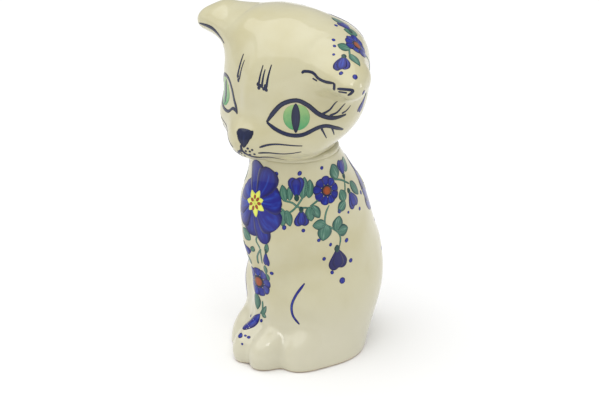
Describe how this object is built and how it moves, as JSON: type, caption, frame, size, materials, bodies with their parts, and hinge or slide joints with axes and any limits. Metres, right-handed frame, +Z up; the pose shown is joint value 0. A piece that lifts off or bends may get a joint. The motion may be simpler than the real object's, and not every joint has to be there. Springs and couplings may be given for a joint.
{
  "type": "cat figurine",
  "caption": "Seated ceramic cat figurine with sideways ears, a round head luted to a hollow body, paws together and a flat base.",
  "frame": {"origin": "under the middle of the figurine's box, on the surface it stands on", "axes": "+Z up, the cat faces -Y, and the cat's left side is +X"},
  "size_m": [0.1226, 0.1056, 0.204],
  "materials": {
    "glazed_body": "gloss cream glaze over stoneware, hand painted",
    "glazed_head": "gloss cream glaze over stoneware, hand painted",
    "glazed_ears": "gloss cream glaze over stoneware",
    "slip": "fired slip under the glaze"
  },
  "bodies": {
    "root": {"body_casting": "glazed_body", "head_casting": "glazed_head", "left_ear": "glazed_ears", "right_ear": "glazed_ears", "neck_slip": "slip", "left_ear_slip": "slip", "right_ear_slip": "slip"}
  },
  "joints": []
}
